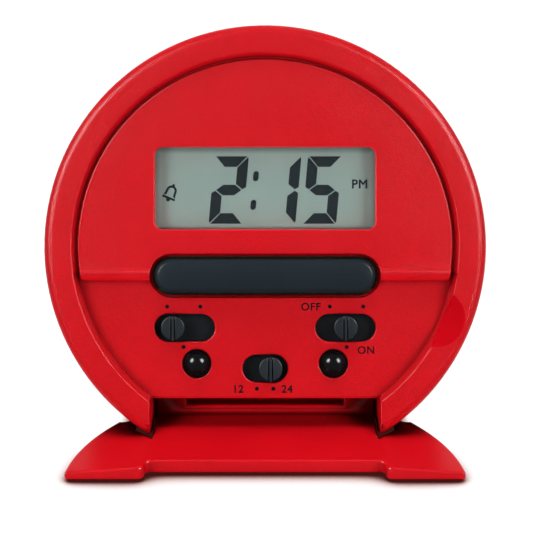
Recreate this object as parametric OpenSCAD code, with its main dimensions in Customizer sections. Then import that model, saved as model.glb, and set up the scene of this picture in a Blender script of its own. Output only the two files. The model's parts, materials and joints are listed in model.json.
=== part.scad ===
// Round travel alarm clock that leans back on a folding front stand.
// The face frame has its origin at the middle of the rim's front plane.
// There x runs right, y runs up the face and z comes out toward the viewer.
// The clock stands on z = 0 of the part frame and looks along -Y.

/* [Case] */
// outer radius of the round case
case_r = 40; // [38:0.5:44]
// depth of the front shell
front_d = 13; // [12.5:0.5:16]
// depth of the back shell
back_d = 14; // [13.5:0.5:18]
// lean of the face from upright, in degrees
tilt = 19; // [16:0.5:21]
// radius of the rounded front edge of the rim
rim_round = 1.8; // [1.2:0.1:2.2]
// radius of the rounded back edge of the case
back_round = 3; // [2:0.25:4]
// width of the rim at its front
rim_w = 5.1; // [4:0.1:6]
// slope of the wall between the rim and the face
rim_slope = 0.7; // [0.6:0.1:1.4]
// depth of the upper face behind the rim
upper_drop = 0.8; // [0.5:0.1:1.2]
// width of the groove between the rim and the upper face
groove_w = 1.1; // [1:0.1:1.6]
// depth of that groove behind the upper face
groove_d = 0.7; // [0.4:0.1:0.9]
// depth of the lower face behind the rim
lower_drop = 2.4; // [2.2:0.1:2.6]
// least thickness of the face, at its lower half
face_t = 1.2; // [1:0.1:1.4]
// thickness of the side wall
wall_t = 3; // [2:0.25:4]
// thickness of the back wall
back_t = 2; // [1.6:0.2:3]
// height of the rib between the two faces, below the middle
rib_low = 4.95; // [4.6:0.05:5.3]
// radius of the rib between the two faces
rib_r = 1.3; // [1:0.1:1.5]
// how far that rib stands out of the upper face
rib_out = 0.55; // [0.2:0.05:0.6]
// radius of the thumb scoop in the rim
scoop_r = 5.2; // [4:0.1:6]
// depth of the thumb scoop in the rim
scoop_d = 1.3; // [0.8:0.1:1.6]
// middle of the thumb scoop, turned down from the right, in degrees
scoop_at = 22.9; // [15:0.1:30]

/* [Stand] */
// round side of the stand inside the outer radius of the case
lid_inset = 5.3; // [4:0.1:7]
// middle of that round side when closed, below the middle of the face
lid_low = 4; // [3:0.25:5]
// straight edge of the stand when closed, below the middle of the face
lid_edge_low = 6.3; // [6:0.1:7]
// thickness of the stand
lid_t = 2.4; // [2:0.1:3]
// slope of the stand's wings, in degrees
wing_slope = 4; // [2:0.5:5]
// half width of the notch that clears the long button
lid_notch_w = 20.9; // [20.6:0.1:21.6]
// depth of that notch
lid_notch_d = 2.6; // [2.5:0.1:3.2]
// corner radius of that notch
lid_notch_r = 1.1; // [0.6:0.1:1.2]
// gap between the closed stand and the rim
lid_gap = 0.3; // [0.3:0.05:0.6]
// hinge line below the middle of the face
hinge_low = 26.2; // [26:0.1:26.5]
// hinge line behind the front of the rim
hinge_in = 5.57; // [5.4:0.05:5.8]
// half width of the opening between the legs
leg_x = 20.8; // [20.4:0.1:21.4]
// lower edge of the face, below the middle
lip_low = 27.6; // [27.4:0.1:27.7]
// chamfer along that lower edge
lip_chamfer = 0.4; // [0.2:0.05:0.6]
// radius of the hinge knuckles
knuckle_r = 1.5; // [1.3:0.05:1.55]
// length of each hinge knuckle
knuckle_l = 5.9; // [4:0.1:6.5]
// radius of the hinge pins
pin_r = 0.6; // [0.5:0.05:0.75]
// length of each hinge pin
pin_l = 9; // [8:0.5:10]
// thickness of the flange that carries the knuckles
flange_t = 1.65; // [1.4:0.05:1.8]
// height of the flange between the knuckles
flange_h = 1.7; // [1.2:0.1:3]
// height of the rubber pads
pad_h = 0.5; // [0.4:0.1:1]
// radius of the stand pads
lid_pad_r = 2.5; // [1.5:0.25:3]
// radius of the case pads
case_pad_r = 3.5; // [2.5:0.25:4]
// middle of the stand pads from the round side of the stand
lid_pad_side = 8.7; // [7.7:0.5:10.2]
// middle of the stand pads behind the straight edge
lid_pad_in = 4.5; // [4:0.25:6]
// middle of the case pads from the middle of the case
case_pad_x = 18; // [10:0.5:20]
// edge of the case pads from the back of the case
case_pad_in = 1.5; // [1:0.25:3]

/* [Display] */
// width of the display opening
lcd_w = 39.9; // [36:0.1:41]
// height of the display opening
lcd_h = 14.9; // [12:0.1:15.4]
// corner radius of the display opening
lcd_corner = 1.45; // [0.8:0.05:2]
// middle of the display above the middle of the face
lcd_high = 10.48; // [10:0.1:11.5]
// margin of the window beyond the opening
window_rim = 0.9; // [0.6:0.1:1.2]
// thickness of the window
window_t = 1; // [0.8:0.1:1.1]
// thickness of the display panel
panel_t = 1.8; // [1.2:0.1:2.2]
// margin of the display panel beyond the opening
panel_rim = 1.9; // [1.6:0.1:2.1]

/* [Long button] */
// half length of the long button
bar_l = 20.04; // [18:0.1:20.2]
// half height of the long button
bar_h = 3.12; // [2.8:0.05:3.2]
// middle of the long button below the middle of the face
bar_low = 5.35; // [5.2:0.05:5.4]
// how far the long button stands out of the rim plane
bar_out = 0.4; // [0.2:0.1:0.8]
// gap around the long button
bar_gap = 0.75; // [0.4:0.05:0.8]
// gap at the ledge round the foot of the long button
bar_foot_gap = 0.35; // [0.3:0.05:0.4]
// thickness of that ledge
bar_ledge = 0.7; // [0.5:0.1:0.9]
// width of the bevel round the long button
bar_bevel = 0.5; // [0.3:0.05:0.7]
// travel of the long button
bar_travel = 0.8; // [0.5:0.1:1]
// radius of its stems
stem_r = 1.2; // [0.9:0.1:1.5]
// stems from the middle of the face
stem_x = 12; // [8:0.5:16]

/* [Switches] */
// length of the two upper switch windows
slot_l = 10.96; // [10:0.1:11.4]
// height of the switch windows
slot_h = 5.02; // [4.8:0.05:5.2]
// middle of the upper switches from the middle of the face
slot_x = 14.6; // [14.2:0.1:15]
// middle of the upper switches below the middle of the face
slot_low = 14.78; // [14.5:0.05:15]
// travel of an upper switch to each side
slot_travel = 2.1; // [1.6:0.1:2.3]
// length of the lower switch window
hour_slot_l = 8.2; // [7.6:0.1:8.6]
// middle of the lower switch below the middle of the face
hour_slot_low = 22.2; // [22:0.05:22.3]
// travel of the lower switch to each side
hour_travel = 1; // [0.7:0.1:1.3]
// radius of the switch knobs
knob_r = 2.12; // [1.9:0.02:2.2]
// how far the knobs stand out of the lower face
knob_out = 1.3; // [0.8:0.1:1.6]
// width of the groove across a knob
knob_groove = 0.9; // [0.6:0.05:1.1]
// depth of the groove across a knob
knob_groove_d = 0.5; // [0.3:0.05:0.7]
// thickness of the slider behind a switch window
slider_t = 1; // [0.8:0.1:1.1]
// margin of the slider beyond its window
slider_rim = 0.5; // [0.4:0.05:0.6]

/* [Round buttons] */
// radius of the round buttons
key_r = 2.35; // [2:0.05:2.5]
// radius of the ball shape on a round button
key_ball_r = 2.6; // [2.4:0.05:3]
// how far the round buttons stand out of the lower face
key_out = 1.4; // [0.8:0.1:1.6]
// middle of the round buttons from the middle of the face
key_x = 12.4; // [12:0.1:13]
// middle of the round buttons below the middle of the face
key_low = 21.3; // [21.2:0.05:21.4]
// gap around the round buttons
key_gap = 0.25; // [0.2:0.05:0.35]
// width of the flange round a round button
key_flange = 0.75; // [0.6:0.05:0.85]
// travel of the round buttons
key_travel = 0.6; // [0.4:0.05:0.7]

/* [Inside] */
// gap between the face and the moving parts behind it
back_gap = 0.3; // [0.3:0.05:0.4]
// thickness of the circuit board
board_t = 1.2; // [1:0.1:1.6]
// front of the circuit board behind the rim
board_in = 7.5; // [7.4:0.1:7.8]
// half width of the circuit board
board_w = 23; // [18:0.5:24]
// lower edge of the circuit board below the middle
board_low = 19; // [18.5:0.1:19.4]
// upper edge of the circuit board above the middle
board_high = 23; // [22.5:0.5:24]
// thickness of the switch pads on the board
dome_t = 0.2; // [0.15:0.05:0.25]
// radius of the switch pads on the board
dome_r = 2; // [1.5:0.1:2.4]
// radius of the battery
cell_r = 5.2; // [4.8:0.05:5.25]
// length of the battery without its tip
cell_l = 43.3; // [40:0.1:43.5]
// radius of the battery tip
cell_tip_r = 1.9; // [1.5:0.1:2.2]
// length of the battery tip
cell_tip_l = 1.1; // [0.8:0.1:1.2]
// height of the battery above the middle of the face
cell_high = 4; // [2:0.25:6]
// thickness of the battery contacts
contact_t = 0.4; // [0.3:0.05:0.5]
// height of the battery contacts
contact_h = 8; // [6:0.5:9]
// depth of the battery contacts
contact_w = 8; // [6:0.5:9]
// foot of the battery contacts in front of the back wall
contact_up = 1; // [0.5:0.25:2]
// gap between the battery and its contacts
contact_gap = 0.2; // [0.2:0.05:0.3]
// thickness of the ribs that hold the contacts
rib_t = 1.4; // [1.2:0.1:2]
// length of the battery door
door_l = 47; // [46:0.25:47]
// height of the battery door
door_h = 12.6; // [12:0.1:14]
// gap round the battery door
door_gap = 0.3; // [0.2:0.05:0.4]
// width of the ledge that carries the battery door
door_ledge = 1; // [0.8:0.1:1.2]
// number of grip ridges on the battery door
door_ridges = 5; // [3:1:7]
// radius of the sounder
sounder_r = 8; // [6:0.5:9]
// thickness of the sounder
sounder_t = 1; // [0.6:0.1:1.6]
// height of the sounder below the middle of the face
sounder_low = 12; // [11.5:0.5:13]
// radius of the sound holes
sound_hole_r = 0.9; // [0.6:0.1:1.2]
// radius of the ring of sound holes
sound_ring_r = 4.2; // [3.5:0.1:5]
// radius of the lamp beside the display
lamp_r = 0.9; // [0.6:0.1:1]

/* [Screws] */
// screws from the middle of the face
screw_x = 30; // [29.5:0.1:30.5]
// upper screws above the middle of the face
screw_high = 12; // [10:0.5:13]
// lower screws below the middle of the face
screw_low = 16; // [14:0.5:16.5]
// radius of the screw heads
head_r = 2.3; // [2:0.1:2.5]
// height of the screw heads
head_t = 1.2; // [1:0.1:1.4]
// radius of the screw shanks
shank_r = 1.1; // [0.9:0.05:1.3]
// length of the screw shanks
shank_l = 16; // [14:0.5:17]
// depth of the screw heads below the back
head_sink = 0.2; // [0.1:0.05:0.4]
// radius of the posts the screws go into
post_r = 2.8; // [2.5:0.1:3]

/* [Hidden] */
$fn = 64;
far = 200;
face_in = lower_drop + face_t;
groove_in = upper_drop + groove_d;
// lean of the groove's outer wall and of its inner wall
groove_slope = 0.65;
groove_lean = 0.25;
case_d = front_d + back_d;
rim_in_r = case_r - rim_w;
lid_r = case_r - lid_inset;
lid_pad_x = lid_r - lid_pad_side;
hinge_up = hinge_in + lid_gap;
axis_z = pad_h + lid_t + hinge_up;
hinge_y = hinge_in * cos(tilt) - hinge_low * sin(tilt);
lift = axis_z + hinge_low * cos(tilt) + hinge_in * sin(tilt);
step_low = rib_low;
inner_r = case_r - wall_t;
// side play of the stand between the legs
leg_play = 0.4;
// play round a moving hinge part
swing_play = 0.35;
// running play of the pins in the knuckles
pin_play = 0.05;
// play round a screw head
head_play = 0.2;
// play round the window in its seat
window_play = 0.1;
// start of the heel space behind the hinge line
heel_in = 0.5;
flange_front = hinge_low - lip_low - swing_play;
flange_back = flange_front - flange_t;
flange_top = knuckle_r;
flange_mid_top = flange_h - hinge_up;
tail_r = norm([flange_back, hinge_up + lid_t]) + swing_play;
heel_low = (lip_low - hinge_low - flange_back * sin(tilt)) / cos(tilt);
heel_r = norm([flange_back, max(flange_top, heel_low)]) + swing_play;
tail_side = sqrt(max(0, tail_r * tail_r - pow(front_d - hinge_in, 2)));
// back edge of the stand's wings beside the legs, in front of the hinge line
wing_back = 1.2;
// back edge of their tails under the legs, behind the hinge line
tail_back = 2;
// inner side of those tails, where the case is this far below the hinge line
tail_under = 5.8;
tail_x = sqrt(max(0, case_r * case_r - pow(hinge_low + tail_under, 2)));
lid_mid = hinge_low - lid_low;
lid_front = hinge_low - lid_edge_low;
back_reach = (case_r - back_round) * sin(tilt) + (case_d - back_round) * cos(tilt) + back_round;
mid_y = (back_reach + hinge_y - lid_front) / 2;
axis_y = hinge_y - mid_y;
tongue_x = leg_x - leg_play;
floor_t = 2;
cheek_t = 4;
box_t = 1.2;
slider_l = slot_l / 2 + slot_travel + slider_rim;
hour_slider_l = hour_slot_l / 2 + hour_travel + slider_rim;
slider_h = slot_h / 2 + slider_rim;
slider_front = -face_in - back_gap;
bar_stem_end = -board_in + dome_t + bar_travel + back_gap;
cell_z = -case_d + back_t + back_gap + cell_r;
cell_end = cell_l / 2 + contact_gap;
contact_x = cell_end + cell_tip_l + contact_t;
door_out_l = door_l + 2 * door_gap;
door_out_h = door_h + 2 * door_gap;
door_t = back_t * 0.6;
// margin of the contact ribs beyond the contacts
rib_over = 1;
// height of the contact ribs, which reach past a door opening that comes under them
rib_h = (door_out_l / 2 - door_ledge > contact_x ? max(contact_h, door_out_h) : contact_h) + 2 * rib_over;
scoop_ball = (scoop_r * scoop_r + scoop_d * scoop_d) / (2 * scoop_d);
pad_in = case_d - case_pad_r - case_pad_in;
pad_y = pad_in * cos(tilt) - (lift - pad_h - pad_in * sin(tilt)) * tan(tilt) - mid_y;
screw_end = head_sink + head_t + shank_l - case_d;

// distance from the hinge line to the outermost edge of a leg at one width
function leg_reach(x) = max(
    norm([sqrt(case_r * case_r - x * x) - hinge_low, hinge_in - rim_round]),
    norm([sqrt(pow(case_r - rim_round * 0.293, 2) - x * x) - hinge_low, hinge_in - rim_round * 0.293]),
    norm([sqrt(pow(case_r - rim_round, 2) - x * x) - hinge_low, hinge_in])
);

// stands the face frame up in the part frame
module place() {
    translate([0, -mid_y, lift])
        rotate([90 - tilt, 0, 0])
            children();
}

// the space above one height of the part frame, in the face frame
module above(h) {
    rotate([tilt - 90, 0, 0])
        translate([-far, -far, h - lift])
            cube([2 * far, 2 * far, far]);
}

// a bar shape with round ends
module stadium(half_l, half_h) {
    square([2 * (half_l - half_h), 2 * half_h], center = true);
    translate([half_l - half_h, 0])
        circle(half_h);
    translate([half_h - half_l, 0])
        circle(half_h);
}

// a rectangle with round corners
module round_rect(w, h, r) {
    square([w - 2 * r, h], center = true);
    square([w, h - 2 * r], center = true);
    for (sx = [-1, 1])
        for (sy = [-1, 1])
            translate([sx * (w / 2 - r), sy * (h / 2 - r)])
                circle(r);
}

// a cylinder along x, centred on the hinge line
module hinge_rod(r, half_l) {
    translate([0, -hinge_low, -hinge_in])
        rotate([0, 90, 0])
            cylinder(h = 2 * half_l, r = r, center = true);
}

// a bar shape cut straight through the face
module face_hole(x, y, half_l, half_h) {
    translate([x, y, -face_in - 1])
        linear_extrude(height = face_in + 4)
            stadium(half_l, half_h);
}

// the space the stand needs between the legs
module stand_space() {
    translate([-leg_x, -case_r - 5, -hinge_in])
        cube([2 * leg_x, case_r + 5 - lip_low, hinge_in + 5]);
    intersection() {
        hinge_rod(tail_r, leg_x);
        translate([-far, -far - lip_low, -far])
            cube([2 * far, far, 2 * far]);
    }
    intersection() {
        hinge_rod(heel_r, leg_x);
        translate([-far, -far, -far - hinge_in - heel_in])
            cube([2 * far, 2 * far, far]);
    }
    intersection() {
        hinge_rod(knuckle_r + swing_play, leg_x);
        translate([-far, -far, -far - face_in])
            cube([2 * far, 2 * far, far]);
    }
}

// the walls round that space, with the blocks that hold the pins
module hinge_box() {
    for (sx = [-1, 1])
        translate([sx * (leg_x + cheek_t / 2) - cheek_t / 2, -case_r, -hinge_in - tail_r - box_t])
            cube([cheek_t, case_r - hinge_low + heel_r + box_t, tail_r + box_t + hinge_in]);
    translate([-leg_x - 0.1, -case_r, -hinge_in - tail_r - box_t])
        cube([2 * leg_x + 0.2, case_r - hinge_low + heel_r + box_t, tail_r + box_t - heel_in]);
}

// the four places of the case screws
module at_screws() {
    for (sx = [-1, 1]) {
        translate([sx * screw_x, screw_high, 0])
            children();
        translate([sx * screw_x, -screw_low, 0])
            children();
    }
}

module front_outline() {
    rotate_extrude() {
        translate([0, -front_d])
            square([case_r, front_d - rim_round]);
        translate([0, -front_d])
            square([case_r - rim_round, front_d]);
        translate([case_r - rim_round, -rim_round])
            circle(rim_round);
    }
}

module back_outline() {
    rotate_extrude() {
        translate([0, -case_d + back_round])
            square([case_r, back_d - back_round]);
        translate([0, -case_d])
            square([case_r - back_round, back_d]);
        intersection() {
            translate([case_r - back_round, -case_d + back_round])
                circle(back_round);
            translate([0, -case_d - 1])
                square([case_r + 1, back_d]);
        }
    }
}

// the sunk upper and lower faces inside the rim, with a groove round the upper one
module face_recess() {
    intersection() {
        difference() {
            translate([0, 0, -groove_in])
                cylinder(h = 2 * groove_in, r1 = rim_in_r - groove_slope, r2 = rim_in_r + groove_slope);
            translate([0, 0, -groove_in])
                cylinder(h = groove_d, r1 = rim_in_r - groove_w + groove_lean, r2 = rim_in_r - groove_w);
        }
        translate([-far, -step_low, -far])
            cube([2 * far, far, 2 * far]);
    }
    intersection() {
        translate([0, 0, -lower_drop])
            cylinder(h = lower_drop + 1, r1 = rim_in_r - rim_slope, r2 = rim_in_r + rim_slope / lower_drop);
        translate([-far, -far - step_low, -far])
            cube([2 * far, far, 2 * far]);
    }
}

// the rounded rib along the step between the faces
module face_rib() {
    intersection() {
        translate([0, -rib_low, -upper_drop - rib_r + rib_out])
            rotate([0, 90, 0])
                cylinder(h = 2 * rim_in_r, r = rib_r, center = true);
        translate([0, 0, -face_in])
            cylinder(h = face_in, r = rim_in_r - groove_w);
    }
}

module case_front() {
    color("firebrick")
    place()
    difference() {
        union() {
            difference() {
                intersection() {
                    front_outline();
                    above(pad_h);
                }
                face_recess();
                difference() {
                    intersection() {
                        translate([0, 0, -front_d - 1])
                            cylinder(h = front_d + 1 - face_in, r = inner_r);
                        above(pad_h + floor_t);
                    }
                    hinge_box();
                    at_screws()
                        translate([0, 0, -far])
                            cylinder(h = far, r = post_r);
                }
            }
            face_rib();
        }
        translate([0, lcd_high, -face_in - 1])
            linear_extrude(height = face_in + 2)
                round_rect(lcd_w, lcd_h, lcd_corner);
        translate([0, lcd_high, -face_in - 1])
            linear_extrude(height = window_t + window_play + 1)
                round_rect(lcd_w + 2 * window_rim, lcd_h + 2 * window_rim, lcd_corner);
        face_hole(0, -bar_low, bar_l + bar_foot_gap, bar_h + bar_foot_gap);
        translate([0, -bar_low, -face_in + bar_ledge])
            linear_extrude(height = face_in + 4)
                stadium(bar_l + bar_gap, bar_h + bar_gap);
        face_hole(-slot_x, -slot_low, slot_l / 2, slot_h / 2);
        face_hole(slot_x, -slot_low, slot_l / 2, slot_h / 2);
        face_hole(0, -hour_slot_low, hour_slot_l / 2, slot_h / 2);
        for (sx = [-1, 1])
            translate([sx * key_x, -key_low, -face_in - 1])
                cylinder(h = face_in + 2, r = key_r + key_gap);
        rotate([0, 0, -scoop_at])
            translate([rim_in_r - 1.5, 0, scoop_ball - scoop_d])
                sphere(scoop_ball);
        stand_space();
        translate([0, -lip_low, -lower_drop])
            rotate([45, 0, 0])
                cube([2 * leg_x, lip_chamfer * sqrt(2), lip_chamfer * sqrt(2)], center = true);
        translate([-leg_x, -far, -front_d - 1])
            cube([2 * leg_x, far - hinge_low - tail_side + swing_play, front_d + 1 - hinge_in]);
        hinge_rod(pin_r, tongue_x - knuckle_l + pin_l);
        at_screws()
            translate([0, 0, -front_d - 1])
                cylinder(h = screw_end + front_d + 1 + swing_play, r = shank_r);
    }
}

module case_back() {
    color("firebrick")
    place()
    difference() {
        intersection() {
            back_outline();
            above(pad_h);
        }
        difference() {
            intersection() {
                translate([0, 0, -case_d + back_t])
                    cylinder(h = back_d, r = inner_r);
                above(pad_h + floor_t);
            }
            hinge_box();
            at_screws()
                translate([0, 0, -far])
                    cylinder(h = far, r = post_r);
            for (sx = [-1, 1])
                translate([sx * (contact_x + rib_t / 2), cell_high, -case_d + back_t + (contact_up + contact_w) / 2])
                    cube([rib_t, rib_h, contact_up + contact_w + 2 * rib_over], center = true);
        }
        stand_space();
        translate([0, cell_high, -case_d - 1])
            linear_extrude(height = back_t + 2)
                square([door_out_l - 2 * door_ledge, door_out_h - 2 * door_ledge], center = true);
        translate([0, cell_high, -case_d - 1])
            linear_extrude(height = 1 + door_t)
                square([door_out_l, door_out_h], center = true);
        for (a = [0 : 60 : 300])
            translate([sound_ring_r * cos(a), -sounder_low + sound_ring_r * sin(a), -case_d - 1])
                cylinder(h = back_t + 2, r = sound_hole_r);
        translate([0, -sounder_low, -case_d - 1])
            cylinder(h = back_t + 2, r = sound_hole_r);
        at_screws()
            translate([0, 0, -case_d - 1])
                cylinder(h = back_d + 2, r = shank_r);
        at_screws()
            translate([0, 0, -case_d - 1])
                cylinder(h = head_t + head_sink + 1, r = head_r + head_play);
    }
}

module display_window() {
    color("lightblue", 0.3)
    place()
    translate([0, lcd_high, -face_in])
        linear_extrude(height = window_t)
            round_rect(lcd_w + 2 * (window_rim - window_play), lcd_h + 2 * (window_rim - window_play), lcd_corner);
}

module display_panel() {
    color("darkseagreen")
    place()
    translate([-lcd_w / 2 - panel_rim, lcd_high - lcd_h / 2 - panel_rim, -face_in - panel_t])
        cube([lcd_w + 2 * panel_rim, lcd_h + 2 * panel_rim, panel_t]);
}

module long_button() {
    color("darkslategray")
    place()
    translate([0, -bar_low, 0]) {
        translate([0, 0, slider_front - slider_t])
            linear_extrude(height = bar_out - bar_bevel - slider_front + slider_t)
                stadium(bar_l, bar_h);
        translate([0, 0, bar_out - bar_bevel]) {
            for (sx = [-1, 1])
                translate([sx * (bar_l - bar_h), 0, 0])
                    cylinder(h = bar_bevel, r1 = bar_h, r2 = bar_h - bar_bevel);
            translate([bar_h - bar_l, 0, 0])
                rotate([90, 0, 90])
                    linear_extrude(height = 2 * (bar_l - bar_h))
                        polygon([[-bar_h, 0], [bar_h, 0], [bar_h - bar_bevel, bar_bevel], [bar_bevel - bar_h, bar_bevel]]);
        }
        translate([0, 0, slider_front - slider_t])
            linear_extrude(height = slider_t)
                stadium(bar_l + bar_gap + 0.7, bar_h + bar_gap + 0.7);
        for (sx = [-1, 1])
            translate([sx * stem_x, 0, bar_stem_end])
                cylinder(h = slider_front - bar_stem_end, r = stem_r);
    }
}

// a switch knob with its slider behind the face
module switch_shape(half_l) {
    translate([-half_l, -slider_h, slider_front - slider_t])
        cube([2 * half_l, 2 * slider_h, slider_t]);
    difference() {
        translate([0, 0, slider_front - slider_t])
            cylinder(h = knob_out - lower_drop - slider_front + slider_t, r = knob_r);
        translate([-knob_groove / 2, -knob_r - 1, knob_out - lower_drop - knob_groove_d])
            cube([knob_groove, 2 * knob_r + 2, knob_groove_d + 1]);
    }
}

module mode_switch() {
    color("darkslategray")
    place()
    translate([-slot_x - slot_travel, -slot_low, 0])
        switch_shape(slider_l);
}

module alarm_switch() {
    color("darkslategray")
    place()
    translate([slot_x, -slot_low, 0])
        switch_shape(slider_l);
}

module hour_switch() {
    color("darkslategray")
    place()
    translate([hour_travel, -hour_slot_low, 0])
        switch_shape(hour_slider_l);
}

module key_shape() {
    intersection() {
        translate([0, 0, slider_front - slider_t])
            cylinder(h = far, r = key_r);
        translate([0, 0, key_out - lower_drop - key_ball_r])
            union() {
                sphere(key_ball_r);
                translate([0, 0, -far])
                    cylinder(h = far, r = key_ball_r);
            }
    }
    translate([0, 0, slider_front - slider_t])
        cylinder(h = slider_t, r = key_r + key_flange);
}

module left_button() {
    color("black")
    place()
    translate([-key_x, -key_low, 0])
        key_shape();
}

module right_button() {
    color("black")
    place()
    translate([key_x, -key_low, 0])
        key_shape();
}

// the plan of the stand, with y forward from the hinge line
module stand_plan() {
    difference() {
        union() {
            intersection() {
                translate([0, lid_mid])
                    circle(lid_r, $fn = 128);
                translate([-far, -far + lid_front])
                    square([2 * far, far]);
            }
            translate([-tongue_x, flange_back])
                square([2 * tongue_x, lid_front - lid_notch_d - 2 - flange_back]);
        }
        translate([-lid_notch_w, lid_front - lid_notch_d])
            square([2 * lid_notch_w, lid_notch_d + 1]);
        for (sx = [-1, 1])
            difference() {
                translate([sx * (lid_notch_w + lid_notch_r / 2) - lid_notch_r / 2, lid_front - lid_notch_r])
                    square([lid_notch_r, lid_notch_r + 1]);
                translate([sx * (lid_notch_w + lid_notch_r), lid_front - lid_notch_r])
                    circle(lid_notch_r);
            }
        translate([-far, -far])
            square([2 * far, far + flange_back]);
        for (sx = [-1, 1]) {
            wing_x = max(tongue_x + 1, tail_x);
            translate([sx * (far / 2 + wing_x) - far / 2, -far])
                square([far, far - tail_back]);
            translate([sx * (wing_x + tongue_x) / 2 - (wing_x - tongue_x) / 2, -far])
                square([wing_x - tongue_x, far + wing_back]);
        }
    }
    for (sx = [-1, 1])
        difference() {
            translate([sx * (lid_notch_w - lid_notch_r / 2) - lid_notch_r / 2, lid_front - lid_notch_d - 0.5])
                square([lid_notch_r, lid_notch_r + 0.5]);
            translate([sx * (lid_notch_w - lid_notch_r), lid_front - lid_notch_d + lid_notch_r])
                circle(lid_notch_r);
        }
}

// the case with its play, beside the tongue of the stand
module leg_space() {
    intersection() {
        place()
            translate([0, 0, -case_d])
                cylinder(h = case_d + swing_play, r = case_r + swing_play);
        for (sx = [-1, 1])
            translate([sx * (far / 2 + tongue_x) - far / 2, -far, -far])
                cube([far, 2 * far, 2 * far]);
    }
}

module stand() {
    color("firebrick")
    difference() {
        translate([0, axis_y, axis_z])
        difference() {
            union() {
                translate([0, 0, -hinge_up - lid_t])
                    mirror([0, 1, 0])
                        linear_extrude(height = lid_t)
                            stand_plan();
                translate([-tongue_x, -flange_front, -hinge_up - 0.5])
                    cube([2 * tongue_x, flange_t, hinge_up + 0.5 + flange_mid_top]);
                for (sx = [-1, 1]) {
                    translate([sx * (tongue_x - knuckle_l / 2) - knuckle_l / 2, -flange_front, flange_mid_top - 0.5])
                        cube([knuckle_l, flange_t, flange_top - flange_mid_top + 0.5]);
                    translate([sx * (tongue_x - knuckle_l / 2), 0, 0])
                        rotate([0, 90, 0])
                            cylinder(h = knuckle_l, r = knuckle_r, center = true);
                    translate([sx * (tongue_x - knuckle_l / 2) - knuckle_l / 2, 0, 0])
                        cube([knuckle_l, -flange_front + 0.1, knuckle_r]);
                }
            }
            rotate([0, 90, 0])
                cylinder(h = 2 * leg_x + 2, r = pin_r + pin_play, center = true);
            for (sx = [-1, 1]) {
                rotate([0, sx * 90, 0])
                    translate([0, 0, tongue_x])
                        cylinder(h = 7.4, r1 = leg_reach(tongue_x) + swing_play, r2 = leg_reach(tongue_x + 7.4) + swing_play);
                translate([sx * lid_notch_w, 0, -hinge_up])
                    rotate([0, sx * wing_slope, 0])
                        translate([sx * far / 2 - far / 2, -far, 0])
                            cube([far, 2 * far, hinge_up - 1]);
            }
        }
        leg_space();
    }
}

module pin_shape(side) {
    color("lightgray")
    place()
    translate([side * (tongue_x - knuckle_l), -hinge_low, -hinge_in])
        rotate([0, side * 90, 0])
            cylinder(h = pin_l, r = pin_r);
}

module left_pin() {
    pin_shape(-1);
}

module right_pin() {
    pin_shape(1);
}

module stand_pad(side) {
    color("dimgray")
    translate([side * lid_pad_x, axis_y - lid_front + lid_pad_in, 0])
        cylinder(h = pad_h, r = lid_pad_r);
}

module left_stand_pad() {
    stand_pad(-1);
}

module right_stand_pad() {
    stand_pad(1);
}

module case_pad(side) {
    color("dimgray")
    translate([side * case_pad_x, pad_y, 0])
        cylinder(h = pad_h, r = case_pad_r);
}

module left_case_pad() {
    case_pad(-1);
}

module right_case_pad() {
    case_pad(1);
}

module circuit_board() {
    color("darkgreen")
    place()
    translate([-board_w, -board_low, -board_in - board_t])
        cube([2 * board_w, board_low + board_high, board_t]);
}

module switch_pads() {
    color("gray")
    place() {
        for (sx = [-1, 1])
            translate([sx * stem_x, -bar_low, -board_in])
                cylinder(h = dome_t, r = dome_r);
    }
}

module battery() {
    color("goldenrod")
    place()
    translate([-cell_l / 2, cell_high, cell_z])
        rotate([0, 90, 0]) {
            cylinder(h = cell_l, r = cell_r);
            translate([0, 0, cell_l - 0.5])
                cylinder(h = cell_tip_l + 0.5, r = cell_tip_r);
        }
}

module contact_shape(side) {
    color("gold")
    place()
    translate([side * (contact_x - contact_t / 2), cell_high, -case_d + back_t + contact_up + contact_w / 2])
        cube([contact_t, contact_h, contact_w], center = true);
}

module left_contact() {
    contact_shape(-1);
}

module right_contact() {
    contact_shape(1);
}

module battery_door() {
    color("firebrick")
    place()
    difference() {
        translate([0, cell_high, -case_d])
            linear_extrude(height = door_t)
                square([door_l, door_h], center = true);
        for (i = [1 : door_ridges])
            translate([door_l / 2 - 2 - 2 * i, cell_high - door_h / 4, -case_d - 1])
                cube([1, door_h / 2, 1.4]);
    }
}

module sounder() {
    color("goldenrod")
    place()
    translate([0, -sounder_low, -case_d + back_t])
        cylinder(h = sounder_t, r = sounder_r);
}

module lamp() {
    color("white")
    place()
    translate([0, lcd_high + lcd_h / 2 + panel_rim + 0.2 + lamp_r, -board_in])
        cylinder(h = 2.5, r = lamp_r);
}

module screw_shape(x, y) {
    color("silver")
    place()
    translate([x, y, -case_d + head_sink]) {
        difference() {
            cylinder(h = head_t, r = head_r);
            translate([-head_r, -0.35, -1])
                cube([2 * head_r, 0.7, 1.5]);
            translate([-0.35, -head_r, -1])
                cube([0.7, 2 * head_r, 1.5]);
        }
        translate([0, 0, head_t - 0.1])
            cylinder(h = shank_l + 0.1, r = shank_r);
    }
}

module upper_left_screw() {
    screw_shape(-screw_x, screw_high);
}

module upper_right_screw() {
    screw_shape(screw_x, screw_high);
}

module lower_left_screw() {
    screw_shape(-screw_x, -screw_low);
}

module lower_right_screw() {
    screw_shape(screw_x, -screw_low);
}

case_front();
case_back();
display_window();
display_panel();
long_button();
mode_switch();
alarm_switch();
hour_switch();
left_button();
right_button();
stand();
left_pin();
right_pin();
left_stand_pad();
right_stand_pad();
left_case_pad();
right_case_pad();
circuit_board();
switch_pads();
battery();
left_contact();
right_contact();
battery_door();
sounder();
lamp();
upper_left_screw();
upper_right_screw();
lower_left_screw();
lower_right_screw();
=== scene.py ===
import json
import math

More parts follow.
